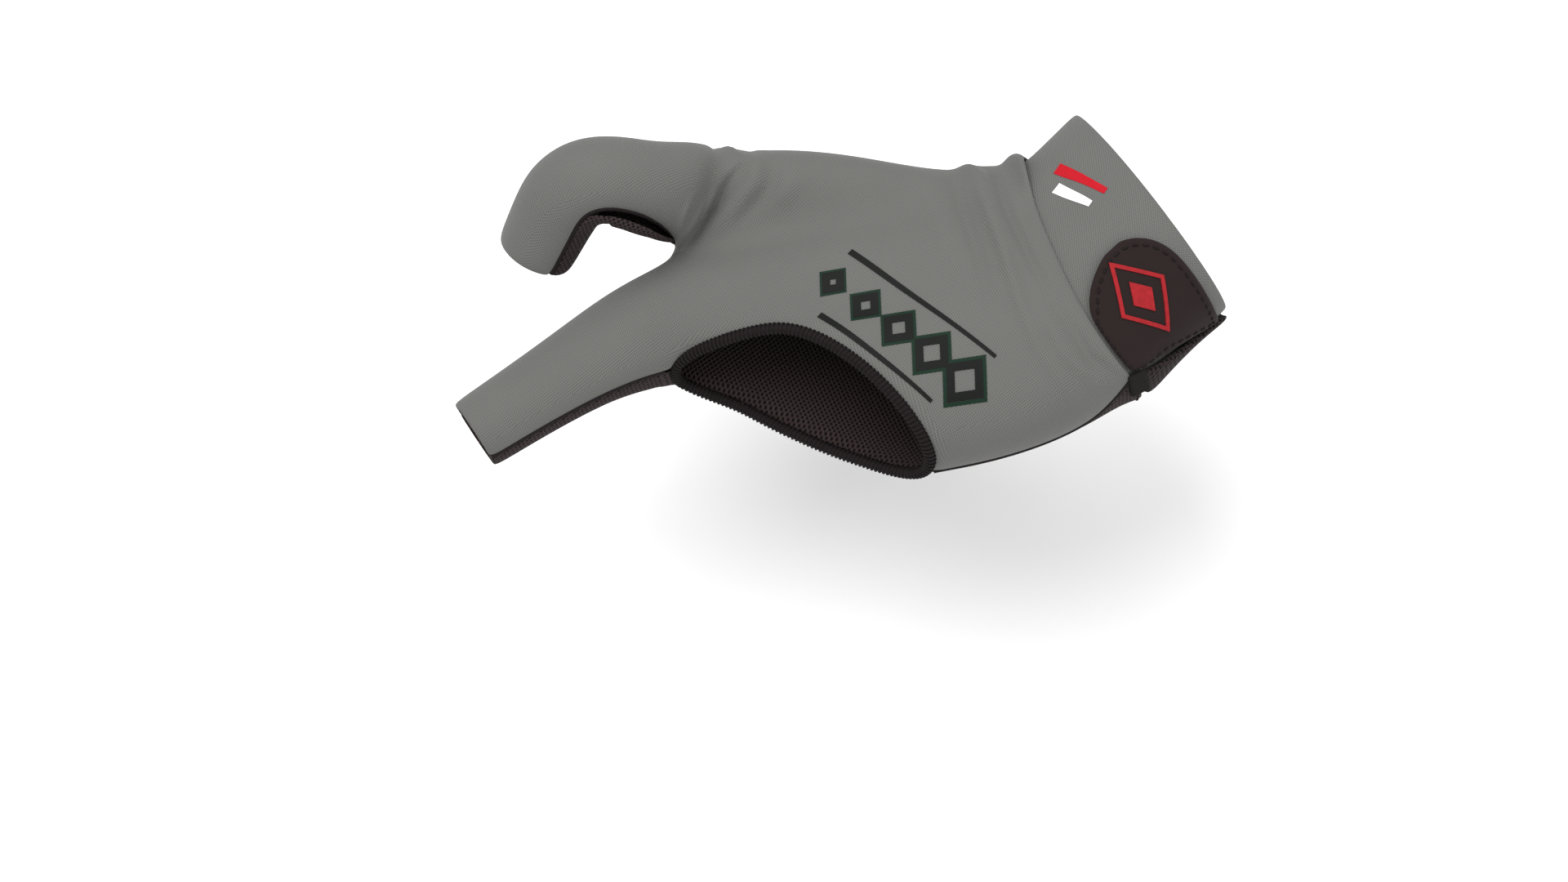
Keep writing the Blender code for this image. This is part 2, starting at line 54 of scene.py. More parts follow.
def cloth_piece(name, node, divisions):
    """A fine, rounded copy of a CAD solid, its loose triangles merged, that stands for the solid."""
    piece = bpy.data.objects.new(name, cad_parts[node].data.copy())
    bpy.context.scene.collection.objects.link(piece)
    piece.data.materials.clear()
    pick_out(piece)
    bpy.ops.object.mode_set(mode="EDIT")
    bpy.ops.mesh.select_all(action="SELECT")
    bpy.ops.mesh.remove_doubles(threshold=0.00001)
    bpy.ops.mesh.tris_convert_to_quads(face_threshold=math.radians(50), shape_threshold=math.radians(60))
    bpy.ops.object.mode_set(mode="OBJECT")
    rounding = piece.modifiers.new("rounding", "SUBSURF")
    rounding.levels = rounding.render_levels = divisions
    bpy.ops.object.modifier_apply(modifier="rounding")
    bpy.ops.object.shade_smooth()
    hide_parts(node)
    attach(piece, "root")
    return piece


def corners_of(piece):
    """The piece's vertices as an array, in millimetres."""
    at = np.empty(len(piece.data.vertices) * 3, np.float32)
    piece.data.vertices.foreach_get("co", at)
    return at.reshape(-1, 3).astype(float) * 1000


def put_corners(piece, at):
    piece.data.vertices.foreach_set("co", (at / 1000).astype(np.float32).ravel())
    piece.data.update()


END_SHARE, END_POWER = 0.08, 0.8  # how high a fold stays at its ends, and how fast it gets there


def fold(piece, line, way, width, height, reach=9):
    """Raises the cloth along a line of points, or sinks it where height is negative. Millimetres.

    Both faces of the cloth move together along way, within reach of the line, and less at its ends.
    """
    at = corners_of(piece)
    way = np.array(way, float) / np.linalg.norm(way)
    line = np.array(line, float)
    flat = at - np.outer(at @ way, way)
    flat_line = line - np.outer(line @ way, way)
    run = np.concatenate(([0], np.cumsum(np.linalg.norm(np.diff(flat_line, axis=0), axis=1))))
    nearest = np.full(len(at), 1e9)
    share = np.zeros(len(at))
    level = np.zeros(len(at))
    for i in range(len(line) - 1):
        step = flat_line[i + 1] - flat_line[i]
        t = np.clip((flat - flat_line[i]) @ step / (step @ step), 0, 1)
        off = np.linalg.norm(flat - flat_line[i] - np.outer(t, step), axis=1)
        closer = off < nearest
        nearest[closer] = off[closer]
        share[closer] = ((run[i] + t * (run[i + 1] - run[i])) / run[-1])[closer]
        level[closer] = (line[i] @ way + t * ((line[i + 1] - line[i]) @ way))[closer]
    ends = np.sin(np.pi * (END_SHARE + share * (1 - 2 * END_SHARE))) ** END_POWER
    deep = np.clip(1 - (np.abs(at @ way - level) / reach) ** 4, 0, 1)
    put_corners(piece, at + np.outer(height * ends * deep * np.exp(-((nearest / width) ** 2)), way))


def shader_group(name, inputs, outputs):
    """An empty shader node group with named sockets, given as (name, type, value)."""
    group = bpy.data.node_groups.new(name, "ShaderNodeTree")
    for title, kind, value in inputs:
        socket = group.interface.new_socket(title, in_out="INPUT", socket_type=kind)
        if value is not None:
            socket.default_value = value
    for title, kind, _ in outputs:
        group.interface.new_socket(title, in_out="OUTPUT", socket_type=kind)
    return group, group.nodes.new("NodeGroupInput"), group.nodes.new("NodeGroupOutput")


def math_node(tree, operation, *values):
    node = tree.nodes.new("ShaderNodeMath")
    node.operation = operation
    for socket, value in zip(node.inputs, values):
        if isinstance(value, (int, float)):
            socket.default_value = value
        else:
            tree.links.new(value, socket)
    return node.outputs[0]


# Two sets of fine loops crossing on the surface, as in any knit. Columns gives how many loops lie
# side by side in a metre, and Slant how much taller than wide they are.
knit, ins, outs = shader_group(
    "knitted loops",
    [("Columns", "NodeSocketFloat", 2000.0), ("Slant", "NodeSocketFloat", 1.0)],
    [("Height", "NodeSocketFloat", None), ("Holes", "NodeSocketFloat", None)],
)
place = knit.nodes.new("ShaderNodeTexCoord").outputs["UV"]
parts = knit.nodes.new("ShaderNodeSeparateXYZ")
knit.links.new(place, parts.inputs[0])
wide = math_node(knit, "MULTIPLY", parts.outputs["X"], ins.outputs["Columns"])
tall = math_node(knit, "MULTIPLY", parts.outputs["Y"], ins.outputs["Columns"])
tall = math_node(knit, "DIVIDE", tall, ins.outputs["Slant"])
waves = [
    math_node(knit, "SINE", math_node(knit, "MULTIPLY", math_node(knit, step, wide, tall), math.pi))
    for step in ("ADD", "SUBTRACT")
]
crossing = math_node(knit, "ABSOLUTE", math_node(knit, "MULTIPLY", *waves))
knit.links.new(crossing, outs.inputs["Height"])
hole = knit.nodes.new("ShaderNodeMapRange")
hole.interpolation_type = "SMOOTHSTEP"
hole.inputs["From Min"].default_value = 0.45
hole.inputs["From Max"].default_value = 0.8
knit.links.new(crossing, hole.inputs["Value"])
knit.links.new(hole.outputs[0], outs.inputs["Holes"])


def group_in(tree, group, **values):
    node = tree.nodes.new("ShaderNodeGroup")
    node.node_tree = group
    for title, value in values.items():
        node.inputs[title].default_value = value
    return node


def blend_colours(tree, factor, first, second):
    node = tree.nodes.new("ShaderNodeMix")
    node.data_type = "RGBA"
    tree.links.new(factor, node.inputs["Factor"])
    for socket, value in ((node.inputs["A"], first), (node.inputs["B"], second)):
        if isinstance(value, tuple):
            socket.default_value = (*value, 1)
        else:
            tree.links.new(value, socket)
    return node.outputs["Result"]


def noise(tree, scale, detail=2.0):
    node = tree.nodes.new("ShaderNodeTexNoise")
    node.inputs["Scale"].default_value = scale
    node.inputs["Detail"].default_value = detail
    tree.links.new(tree.nodes.new("ShaderNodeTexCoord").outputs["Object"], node.inputs["Vector"])
    return node.outputs["Fac"]


def fabric(
    name, dark, light, columns, slant, depth, strength, roughness, sheen, shine=0.1, patches=60.0
):
    """A knitted or woven cloth: colour from dark in its holes to light on its loops."""
    material = bpy.data.materials.new(name)
    material.use_nodes = True
    tree = material.node_tree
    shader = tree.nodes["Principled BSDF"]
    loops = group_in(tree, knit, Columns=columns, Slant=slant)
    uneven = blend_colours(tree, noise(tree, patches, 3.0), light, tuple(c * 0.9 for c in light))
    colour = blend_colours(tree, loops.outputs["Holes"], uneven, dark)
    tree.links.new(colour, shader.inputs["Base Color"])
    shader.inputs["Roughness"].default_value = roughness
    shader.inputs["Sheen Weight"].default_value = sheen
    shader.inputs["Sheen Roughness"].default_value = 0.45
    shader.inputs["Specular IOR Level"].default_value = shine
    bump = tree.nodes.new("ShaderNodeBump")
    bump.inputs["Strength"].default_value = strength
    bump.inputs["Distance"].default_value = depth
    fluff = math_node(tree, "MULTIPLY", noise(tree, 1800.0), 0.6)
    tree.links.new(math_node(tree, "ADD", loops.outputs["Height"], fluff), bump.inputs["Height"])
    tree.links.new(bump.outputs[0], shader.inputs["Normal"])
    return material


def lay_pattern(piece, turn=0.0):
    """A UV map in metres: each face is laid flat along the nearest of the three planes."""
    layer = piece.data.uv_layers.new(name="cloth")
    at = corners_of(piece) / 1000
    corner = np.empty(len(piece.data.loops), np.int32)
    piece.data.loops.foreach_get("vertex_index", corner)
    normal = np.empty(len(piece.data.polygons) * 3, np.float32)
    piece.data.polygons.foreach_get("normal", normal)
    size = np.empty(len(piece.data.polygons), np.int32)
    piece.data.polygons.foreach_get("loop_total", size)
    facing = np.repeat(np.abs(normal.reshape(-1, 3)).argmax(axis=1), size)
    pairs = np.array([(1, 2), (0, 2), (0, 1)])[facing]
    flat = np.take_along_axis(at[corner], pairs, axis=1)
    cos, sin = math.cos(turn), math.sin(turn)
    flat = flat @ np.array([[cos, sin], [-sin, cos]])
    layer.data.foreach_set("uv", flat.astype(np.float32).ravel())


grey_cloth = fabric(
    "grey stretch cloth", dark=(0.082, 0.082, 0.078), light=(0.136, 0.136, 0.129),
    columns=1500, slant=1.2,
    depth=0.00012, strength=0.5, roughness=0.78, sheen=0.08, shine=0.2,
)
back = cloth_piece("glove_back", "back_panel", 2)
# Folds: the deep crease beside the bent index finger first, the soft ones at its root, three fine
# wrinkles on the finger, then those that gather against the cuff.
for line, way, width, height in (
    ([(-95, 28, 16.5), (-98, 25.5, 16), (-103.6, 20.7, 13), (-109.2, 17.2, 9), (-114, 14.3, 6.4)],
     (0.1, -0.6, 0.8), 1.3, -3.0),
    ([(-91, 34.1, 12.7), (-91.8, 28, 16.9), (-93.4, 23.5, 15.5), (-97.6, 20.4, 12.9),
      (-102.2, 17.7, 9.9)],
     (0, -0.2, 0.8), 2.0, 1.2),
    ([(-86.7, 31.3, 14.7), (-87.2, 27, 16.7), (-88.8, 22.4, 15.3), (-92.7, 20, 13.3),
      (-97.8, 17.7, 10.6)],
     (0, -0.2, 0.9), 1.5, -1.0),
    ([(-94.3, 33.1, 15), (-96, 28, 17), (-98.9, 24.7, 16)], (0.2, -0.1, 0.9), 1.3, 1.1),
    ([(-105.9, 21.6, 16.2), (-109.2, 18.3, 14), (-112.2, 16.1, 11.2)], (0.6, -0.8, 0.1), 0.9, 0.7),
    ([(-108.7, 20.9, 21.2), (-111.5, 17.9, 19), (-114, 16.4, 13.6)], (0.2, -0.8, 0.3), 0.9, 0.6),
    ([(-102.6, 23.4, 15.6), (-105.4, 20.6, 13.7), (-109, 17.7, 11)], (0.4, -0.8, 0.4), 0.9, 0.7),
    ([(-82.9, 22.9, 15.7), (-89.1, 18.3, 12.7)], (-0.1, -0.5, 0.9), 2.6, 0.8),
    ([(-40.8, 16.9, 10.3), (-41.6, 1.1, 16.5), (-41.5, -10.3, 17.6), (-41.5, -23.4, 17.1),
      (-40.4, -32.1, 16)],
     (-0.2, 0.1, 0.9), 1.8, 1.5),
    ([(-36.7, 12.8, 12.7), (-37.4, -0.7, 17.5), (-36.4, -12.2, 18.5), (-34.9, -23.1, 18.3)],
     (0, 0.1, 0.9), 1.4, -1.4),
    ([(-28.7, 16.4, 10.5), (-30.6, 3.8, 16.6)], (-0.1, 0.4, 0.8), 1.7, 1.7),
    ([(-46.7, 17.6, 10.2), (-47.1, 3.3, 15.1), (-47.5, -11.2, 17), (-48.4, -24.2, 16.7)],
     (0, 0.2, 0.9), 1.6, -1.0),
    ([(-34.5, -25.8, 18.1), (-29.3, -40.4, 13.4), (-22.9, -45.2, 7.5)], (0.1, -0.5, 0.8), 1.6, -1.0),
    ([(-38.7, -22.8, 17.5), (-35.6, -37.7, 14.9), (-28.6, -46.1, 8.4)], (0, -0.4, 0.8), 1.8, 0.9),
    ([(-42.8, -20.5, 17.2), (-40.9, -34.3, 15.4), (-35.9, -46.7, 9.1)], (0, -0.3, 0.9), 2.0, 0.8),
    ([(-31.5, 19, 7), (-30.6, 16, 11), (-30, 12, 13.5)], (-0.1, 0.8, 0.5), 2.0, 1.6),
    ([(-37.5, 18, 7), (-37, 15, 11), (-36.6, 11, 13.5)], (0, 0.8, 0.5), 1.6, -1.2),
    ([(-42.5, 19, 7), (-41.8, 16, 11), (-41, 12, 13.5)], (0, 0.8, 0.5), 1.8, 1.0),
    ([(-97, 36, 9), (-96.2, 34, 13), (-95.6, 30, 16.6)], (0.1, 0.7, 0.6), 1.3, 0.9),
    ([(-101, 35.5, 9), (-100.2, 33.5, 13), (-99.6, 29, 17)], (0.1, 0.7, 0.6), 1.2, -0.7),
    ([(-91.5, 36, 9), (-91, 34, 13), (-91, 30, 16.4)], (0.1, 0.7, 0.6), 1.2, -0.6),
    ([(-53.2, 16.8, 12.5), (-53.2, 3.1, 14.4), (-53.8, -9, 15.9)], (0, 0.2, 1), 2.6, 0.8),
):
    fold(back, line, way, width, height)
lay_pattern(back, 0.5)
back.data.materials.append(grey_cloth)

# Palm, with the undersides of the three sleeves. Black air mesh, so that the palm can breathe,
# sewn to the back and the thumb along the sides of the hand.
black_mesh = fabric(
    "black palm mesh", dark=(0.002, 0.0013, 0.0013), light=(0.046, 0.031, 0.031), columns=840, slant=1.4,
    depth=0.0005, strength=1.0, roughness=0.82, sheen=0.03,
)
palm = cloth_piece("glove_palm", "palm_panel", 2)
# Loose mesh on the inner side of the bent index finger hangs out a little.
crook = [
    (-132, 19.5, 23), (-129.2, 19.3, 24.8), (-124.7, 18.4, 22.2), (-119.2, 17.6, 17.5), (-114.9, 18.3, 8),
]
fold(palm, crook, (-0.1, -0.99, 0.05), width=5.0, height=3.6, reach=7)
lay_pattern(palm, 0.5)
palm.data.materials.append(black_mesh)

# Outer half of the thumb sleeve. The same grey stretch cloth as the back, cut as a piece of its own
# and sewn to the mesh of the palm along both its edges.
thumb = cloth_piece("glove_thumb", "thumb_panel", 2)
lay_pattern(thumb, 0.5)
thumb.data.materials.append(grey_cloth)

# Seams between the cut pieces. The edges of two pieces are butted and joined with black thread,
# which shows outside as a thin raised line, and inside as the same.


CLOTH_THICK, THICK_SPREAD = 1.1, 0.2  # length of the edges through the cloth, and how far it may be off


def wall_edges(node):
    """Short edges through a solid's cloth, as (middle, its two corners), and what joins each corner."""
    mesh = bmesh.new()
    mesh.from_mesh(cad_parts[node].data)
    bmesh.ops.remove_doubles(mesh, verts=mesh.verts, dist=0.00001)
    mesh.verts.index_update()
    joins = {v.index: {e.other_vert(v).index for e in v.link_edges} for v in mesh.verts}
    at = [np.array(v.co) * 1000 for v in mesh.verts]
    short = [
        tuple(v.index for v in edge.verts)
        for edge in mesh.edges
        if abs(edge.calc_length() * 1000 - CLOTH_THICK) < THICK_SPREAD
    ]
    mesh.free()
    return [((at[a] + at[b]) / 2, (a, b)) for a, b in short], joins


def seam_lines(first, second, reach=2.0):
    """Lines midway between two solids' facing edges, in millimetres."""
    edges, joins = wall_edges(first)
    others = np.array([middle for middle, _ in wall_edges(second)[0]])
    spots, corners = [], []
    for middle, ends in edges:
        off = np.linalg.norm(others - middle, axis=1)
        if off.min() < reach:
            spots.append((middle + others[off.argmin()]) / 2)
            corners.append(set(ends))
    reached = [set().union(*(joins[c] for c in ends)) for ends in corners]
    owner = {c: i for i, ends in enumerate(corners) for c in ends}
    beside = []
    for i, ends in enumerate(reached):
        near = {owner[c] for c in ends if c in owner} - {i}
        near = sorted(near, key=lambda j: np.linalg.norm(spots[j] - spots[i]))
        beside.append(near[:2])
    beside = [[j for j in near if i in beside[j]] for i, near in enumerate(beside)]
    left, lines = set(range(len(spots))), []
    while left:
        start = min((i for i in left if len([j for j in beside[i] if j in left]) < 2), default=min(left))
        line = [start]
        left.discard(start)
        while True:
            ahead = [j for j in beside[line[-1]] if j in left]
            if not ahead:
                break
            line.append(ahead[0])
            left.discard(ahead[0])
        if len(line) > 3:
            lines.append(np.array([spots[i] for i in line]))
    return lines


def corners_cut(starts, ends):
    """Two points on each stretch of a line, a quarter in from either end."""
    quarters = (starts * 0.75 + ends * 0.25, starts * 0.25 + ends * 0.75)
    return np.stack(quarters, axis=1).reshape(-1, 3)


def open_curve(points, pitch, short=1.0):
    """The points of an open line, smoothed and spaced evenly, and a little short of its ends."""
    for _ in range(3):
        points = np.vstack((points[:1], corners_cut(points[:-1], points[1:]), points[-1:]))
    run = np.concatenate(([0], np.cumsum(np.linalg.norm(np.diff(points, axis=0), axis=1))))
    at = np.linspace(short, run[-1] - short, max(4, round(run[-1] / pitch)))
    return np.stack([np.interp(at, run, points[:, k]) for k in range(3)], axis=1)


def thread(name, points, radius, closed=True, sides=2):
    """A thread along points in millimetres, as a mesh tube."""
    curve = bpy.data.curves.new(name, "CURVE")
    curve.dimensions = "3D"
    curve.bevel_depth = radius / 1000
    curve.bevel_resolution = sides
    curve.use_fill_caps = True
    line = curve.splines.new("POLY")
    line.points.add(len(points) - 1)
    placed = np.hstack((points / 1000, np.ones((len(points), 1))))
    line.points.foreach_set("co", placed.astype(np.float32).ravel())
    line.use_cyclic_u = closed
    tube = bpy.data.objects.new(name, curve)
    bpy.context.scene.collection.objects.link(tube)
    pick_out(tube)
    bpy.ops.object.convert(target="MESH")
    bpy.ops.object.shade_smooth()
    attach(tube, "root")
    return tube


def plain_thread(name, colour, roughness=0.7):
    """Twisted thread or yarn: one colour, a little uneven."""
    material = bpy.data.materials.new(name)
    material.use_nodes = True
    tree = material.node_tree
    shader = tree.nodes["Principled BSDF"]
    dark, light = (tuple(c * share for c in colour) for share in (0.7, 1.25))
    mixed = blend_colours(tree, noise(tree, 900.0), dark, light)
    tree.links.new(mixed, shader.inputs["Base Color"])
    shader.inputs["Roughness"].default_value = roughness
    shader.inputs["Specular IOR Level"].default_value = 0.12
    bump = tree.nodes.new("ShaderNodeBump")
    bump.inputs["Strength"].default_value = 0.5
    bump.inputs["Distance"].default_value = 0.0001
    tree.links.new(noise(tree, 3000.0), bump.inputs["Height"])
    tree.links.new(bump.outputs[0], shader.inputs["Normal"])
    return material


black_thread = plain_thread("black overlock thread", (0.0105, 0.0075, 0.008))
for pair in (("back_panel", "palm_panel"), ("thumb_panel", "palm_panel")):
    for i, line in enumerate(seam_lines(*pair)):
        line = open_curve(line, pitch=0.8)
        seam = thread(f"seam_{pair[0]}_{i}", line, radius=0.72, closed=False)
        seam.data.materials.append(black_thread)

# Cuff. A band of the grey stretch cloth, folded double, sewn inside the hand's edge so that the
# hand's cloth laps over it.
cuff = cloth_piece("glove_cuff", "cuff_band", 2)
for line, way, width, height in (
    ([(-18.8, 14.5, 14.7), (-18.8, 0.9, 18), (-17.9, -8.8, 18.6)], (-0.2, 0.2, 0.9), 2.5, 0.45),
    ([(-23.1, 9.3, 15.6), (-22.8, -2.2, 17.4), (-21.8, -11.9, 17.9)], (-0.2, 0.1, 1), 2, -0.4),
):
    fold(cuff, line, way, width, height)
lay_pattern(cuff, 0.9)
cuff.data.materials.append(grey_cloth)

# Overlocked edge of the opening for the ring and little finger. Black thread wound close over the
# edge of the cloth, one turn in about a millimetre.


RING_STEP = 0.0017  # edges round the cord are shorter than this, and those along it longer


def cord_line(node):
    """Middle line of a closed cord solid, from the rings of short edges round it, in millimetres."""
    mesh = bmesh.new()
    mesh.from_mesh(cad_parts[node].data)
    bmesh.ops.remove_doubles(mesh, verts=mesh.verts, dist=0.00001)
    bmesh.ops.join_triangles(
        mesh, faces=mesh.faces, angle_face_threshold=3.1, angle_shape_threshold=3.1
    )
    left = dict.fromkeys(mesh.verts)
    rings = []
    while left:
        first = next(iter(left))
        del left[first]
        ring, edge = [], [first]
        while edge:
            vert = edge.pop()
            ring.append(vert)
            for link in vert.link_edges:
                other = link.other_vert(vert)
                if link.calc_length() < RING_STEP and other in left:
                    del left[other]
                    edge.append(other)
        rings.append(ring)
    owner = {vert: i for i, ring in enumerate(rings) for vert in ring}
    beside = [
        {owner[link.other_vert(vert)] for vert in ring for link in vert.link_edges} - {i}
        for i, ring in enumerate(rings)
    ]
    order = [0, min(beside[0])]
    while len(order) < len(rings):
        order.append(next(i for i in beside[order[-1]] if i not in order[-2:]))
    line = np.array([np.mean([v.co for v in rings[i]], axis=0) for i in order]) * 1000
    mesh.free()
    return line


def closed_curve(points, count):
    """The points of a closed line, smoothed and spaced evenly."""
    for _ in range(3):
        points = corners_cut(points, np.roll(points, -1, 0))
    round_trip = np.vstack((points, points[:1]))
    run = np.concatenate(([0], np.cumsum(np.linalg.norm(np.diff(round_trip, axis=0), axis=1))))
    at = np.linspace(0, run[-1], count, endpoint=False)
    return np.stack([np.interp(at, run, round_trip[:, k]) for k in range(3)], axis=1), run[-1]


binding_core = cloth_piece("binding_core", "opening_binding", 1)
middle, around = closed_curve(cord_line("opening_binding"), count=2400)


def tuck(piece, line, near, keep):
    """Draws the cloth within near of a line towards it, until its edge is keep away. Millimetres."""
    at = corners_of(piece)
    inside = (at > line.min(axis=0) - near) & (at < line.max(axis=0) + near)
    for i in np.flatnonzero(inside.all(axis=1)):
        off = np.linalg.norm(line - at[i], axis=1)
        far, spot = off.min(), line[off.argmin()]
        if keep < far < near:
            at[i] = spot + (at[i] - spot) * (keep + (far - keep) ** 2 / (near - keep)) / far
    put_corners(piece, at)


for piece in (back, palm):
    tuck(piece, middle[::8], near=4.2, keep=0.7)
along = np.roll(middle, -1, 0) - np.roll(middle, 1, 0)
along /= np.linalg.norm(along, axis=1, keepdims=True)
WOUND_R, WOUND_FLAT, WOUND_PITCH = 1.22, 0.92, 1.05  # the winding thread's turns, in millimetres
turns_of_thread = round(around / WOUND_PITCH)
aside = np.cross(along, (0, 0, 1.0))
aside /= np.linalg.norm(aside, axis=1, keepdims=True)
above = np.cross(aside, along)
wind = 2 * math.pi * turns_of_thread * np.arange(len(middle)) / len(middle)
sideways, upwards = np.cos(wind)[:, None] * aside, np.sin(wind)[:, None] * above
wound = middle + WOUND_R * (sideways + WOUND_FLAT * upwards)
binding = thread("binding_thread", wound, radius=0.34, sides=1)
binding_core.data.materials.append(black_thread)
binding.data.materials.append(black_thread)

# Strap under the wrist. Black elastic webbing with an open weave, wrapped round the palm side of
# the cuff and sewn on at the thumb side.
strap = cloth_piece("wrist_webbing", "wrist_strap", 2)
wrist_bulge = [(-15, -44, 5), (-8, -41, 6), (-1, -36, 6), (6, -28, 6)]
fold(strap, wrist_bulge, (0.4, -0.85, -0.34), width=6.0, height=1.3)
lay_pattern(strap, 0.6)
strap.data.materials.append(fabric(
    "black elastic webbing", dark=(0.0015, 0.001, 0.001), light=(0.030, 0.020, 0.020),
    columns=560, slant=1.0,
    depth=0.0006, strength=1.0, roughness=0.8, sheen=0.03,
))

# Cut end of the webbing. The same black elastic, folded back once and left as a short flat end
# that lies over the hand's edge beside the fold.
bpy.ops.object.select_all(action="DESELECT")
bpy.ops.mesh.primitive_cube_add(
    size=1, location=(-0.0182, -0.0455, 0.0045), rotation=(math.radians(-24), 0, math.radians(14))
)
strap_end = bpy.context.object
strap_end.name = "webbing_end"
strap_end.scale = (0.0050, 0.0015, 0.0062)
bpy.ops.object.transform_apply(location=True, rotation=True, scale=True)
bpy.ops.object.mode_set(mode="EDIT")
bpy.ops.mesh.select_all(action="SELECT")
bpy.ops.mesh.bevel(offset=0.0005, segments=3)
bpy.ops.object.mode_set(mode="OBJECT")
bpy.ops.object.shade_smooth()
lay_pattern(strap_end, 0.6)
strap_end.data.materials.append(strap.data.materials[0])
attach(strap_end, "root")

# Tab that closes the cuff. Black felt with a round end, pressed onto the cuff and stitched
# along its edge.
tab = cloth_piece("strap_tab_felt", "strap_tab", 3)
lay_pattern(tab, 0.6)
tab.data.materials.append(fabric(
    "black felt", dark=(0.010, 0.0065, 0.0065), light=(0.024, 0.0155, 0.0155),
    columns=3000, slant=1.0,
    depth=0.00015, strength=0.3, roughness=0.95, sheen=0.06, patches=300.0,
))

# Stitches along the tab's edge. Black thread, sewn through felt and webbing by machine, each stitch
# sunk a little into the felt.


def edge_line(node, outward_from, inset):
    """Line inside the outer face of a CAD sheet, a distance in from its edge, in millimetres."""
    sheet = bpy.data.objects.new("edge guide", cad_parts[node].data.copy())
    bpy.context.scene.collection.objects.link(sheet)
    pick_out(sheet)
    bpy.ops.object.mode_set(mode="EDIT")
    bpy.ops.mesh.select_all(action="SELECT")
    bpy.ops.mesh.remove_doubles(threshold=0.00001)
    bpy.ops.mesh.select_all(action="DESELECT")
    bpy.ops.object.mode_set(mode="OBJECT")
    for face in sheet.data.polygons:
        away = (face.center - Vector(outward_from) / 1000).normalized()
        face.select = face.normal.dot(away) > 0.45
    bpy.ops.object.mode_set(mode="EDIT")
    bpy.ops.mesh.inset(thickness=inset / 1000, use_boundary=True)
    bpy.ops.mesh.region_to_loop()
    bpy.ops.object.mode_set(mode="OBJECT")
    joins = {}
    for edge in sheet.data.edges:
        if edge.select:
            a, b = edge.vertices
            joins.setdefault(a, []).append(b)
            joins.setdefault(b, []).append(a)
    line = [next(iter(joins))]
    while True:
        ahead = [v for v in joins[line[-1]] if v not in line]
        if not ahead:
            break
        line.append(ahead[0])
    points = np.array([sheet.data.vertices[v].co for v in line]) * 1000
    bpy.data.objects.remove(sheet)
    return points


def surface_of(piece):
    return BVHTree.FromObject(piece, bpy.context.evaluated_depsgraph_get())


SUNK = 0.35  # height of a stitch's middle over the cloth, as a share of its radius


def stitches(name, line, on, long, gap, radius, material):
    """A row of stitches along a line, each lying on the surface. Millimetres."""
    bpy.ops.object.select_all(action="DESELECT")
    bpy.ops.mesh.primitive_uv_sphere_add(segments=8, ring_count=6, radius=0.5)
    one_stitch = bpy.context.object
    shape = np.array([v.co for v in one_stitch.data.vertices])
    faces = [tuple(face.vertices) for face in one_stitch.data.polygons]
    bpy.data.objects.remove(one_stitch)
    surface = surface_of(on)
    run = np.concatenate(([0], np.cumsum(np.linalg.norm(np.diff(line, axis=0), axis=1))))
    count = int(run[-1] / (long + gap))
    corners, quads = [], []
    for i in range(count):
        start = (i + 0.5) * run[-1] / count
        back_end, front_end = (
            np.array([np.interp(start + side * long / 2, run, line[:, k]) for k in range(3)])
            for side in (-1, 1)
        )
        spot, normal, _, _ = surface.find_nearest(Vector((back_end + front_end) / 2000))
        along = Vector(front_end - back_end).normalized()
        aside = normal.cross(along).normalized()
        size = np.array([long, radius * 2, radius * 2]) / 1000
        turn = np.array([along, aside, normal])
        base = len(corners) * len(shape)
        corners.append((shape * size) @ turn + np.array(spot + normal * radius * SUNK / 1000))
        quads += [tuple(c + base for c in face) for face in faces]
    mesh = bpy.data.meshes.new(name)
    mesh.from_pydata([tuple(p) for p in np.vstack(corners)], [], quads)
    row = bpy.data.objects.new(name, mesh)
    bpy.context.scene.collection.objects.link(row)
    pick_out(row)
    bpy.ops.object.shade_smooth()
    row.data.materials.append(material)
    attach(row, "root")
    return row


edge = edge_line("strap_tab", outward_from=(-12, -5, 0), inset=2.0)
edge, _ = closed_curve(edge, count=300)
stitches(
    "tab_stitches", np.vstack((edge, edge[:1])), tab, long=1.7, gap=0.8, radius=0.32,
    material=black_thread,
)

# Stitches that hold the hand's cloth to the cuff, in a row close to its edge. Sewing thread, black on the
# palm; on the back the thread is grey, but its colour is darkened nearly to black, which paints the shade
# along the seam.
# Painted shade: this grey thread's colour is set nearly black so that the row also stands for the dark
# shadow line along the cuff seam.
shade_darkened_thread = plain_thread("grey thread darkened as seam shade", (0.014, 0.014, 0.0135))
cuff_at = corners_of(cuff)[::7]
RIM_REACH, STITCH_INSET = 3.0, 1.3  # how near the cuff the edge runs, and the row's distance from it
for piece, node, yarn in ((back, "back_panel", shade_darkened_thread), (palm, "palm_panel", black_thread)):
    rim = [spot for spot, _ in wall_edges(node)[0]]
    rim = np.array([spot for spot in rim if np.linalg.norm(cuff_at - spot, axis=1).min() < RIM_REACH])
    centre = rim.mean(axis=0)
    wide, deep, axis = np.linalg.svd(rim - centre)[2]
    axis = axis * np.sign(axis[0])
    turned = np.arctan2((rim - centre) @ deep, (rim - centre) @ wide)
    order = np.argsort(turned)
    spread = np.diff(np.append(turned[order], turned[order][0] + 2 * math.pi))
    order = np.roll(order, -(spread.argmax() + 1))
    rim_line = open_curve(rim[order] - STITCH_INSET * axis, pitch=0.8)
    stitches(
        f"cuff_stitches_{node}", rim_line, piece, long=1.1, gap=0.7, radius=0.26,
        material=yarn,
    )

# Raised embroidery on the tab: a plain red lozenge with a smaller one inside it. Red thread, worked
# by machine into the felt before the tab was sewn on.


ART_ABOVE = 0.008  # height over the cloth from which artwork is laid down on it
FINEST = 0.0012  # longest edge of laid artwork


